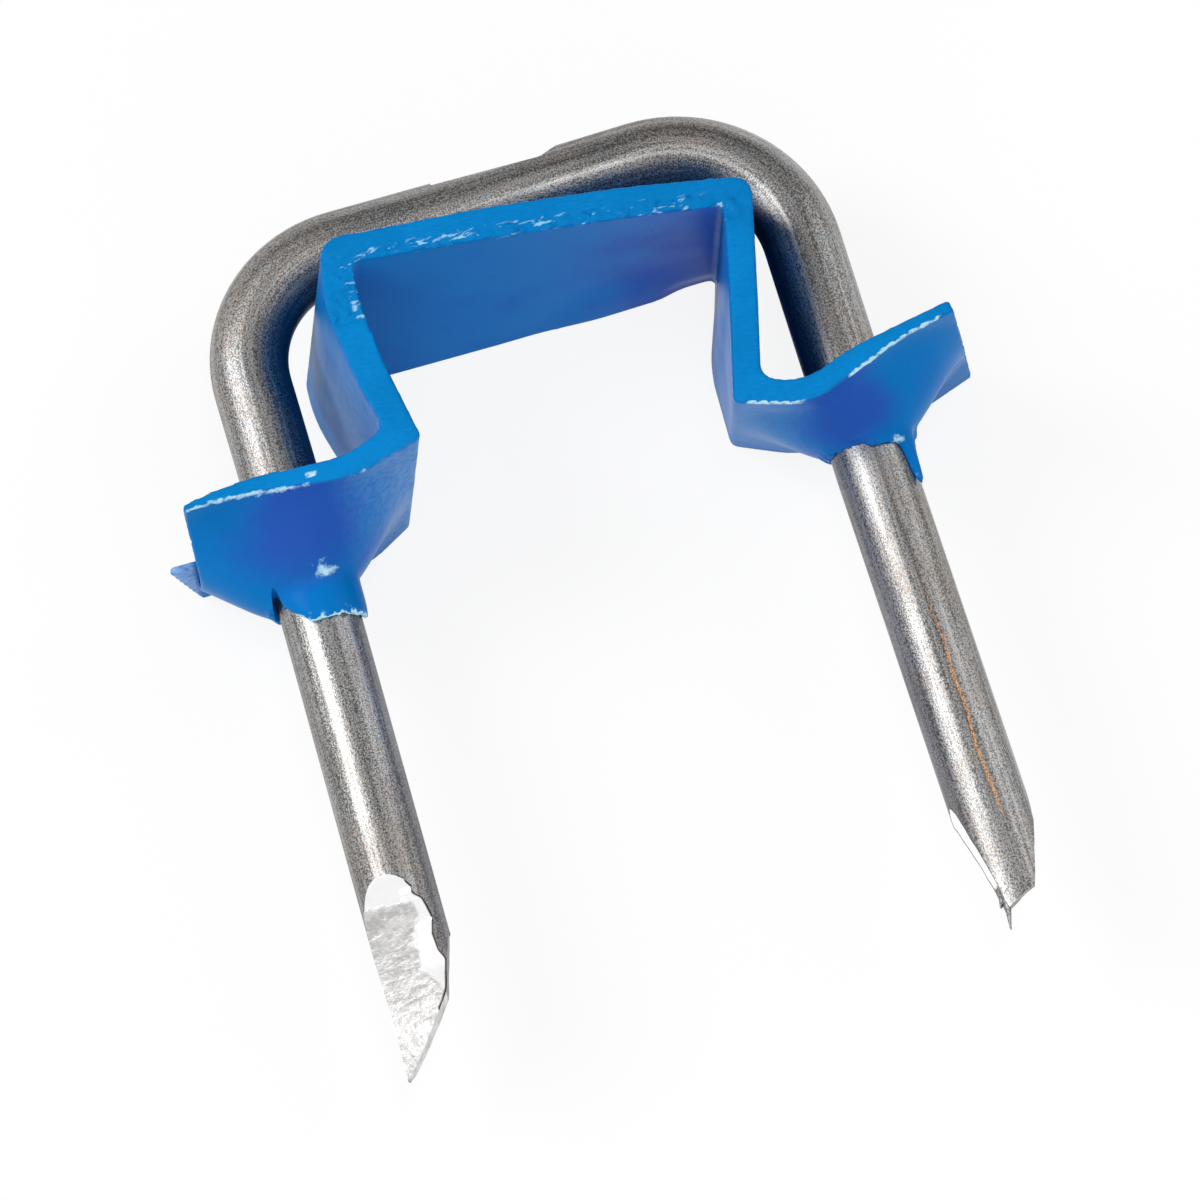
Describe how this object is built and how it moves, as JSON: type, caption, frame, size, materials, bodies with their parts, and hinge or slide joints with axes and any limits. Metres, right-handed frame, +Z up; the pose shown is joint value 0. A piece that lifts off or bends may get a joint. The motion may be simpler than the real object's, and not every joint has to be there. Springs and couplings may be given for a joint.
{
  "type": "insulated cable staple",
  "caption": "Steel wire staple with sheared points, driven through a folded blue plastic saddle that bridges a flat building cable and holds it to a timber stud.",
  "frame": {"origin": "on the resting plane, under the middle of the overall box", "axes": "+X along the crown, +Y from the points to the crown, +Z up from the saddle's rear edge that it lies on"},
  "size_m": [0.0242, 0.026, 0.008],
  "materials": {
    "steel_wire": "dull drawn and galvanised steel wire with bright sheared points",
    "blue_plastic": "glossy extruded polyethylene with cut and torn edges"
  },
  "bodies": {
    "root": {"wire_staple": "steel_wire", "insulating_saddle": "blue_plastic"}
  },
  "joints": []
}
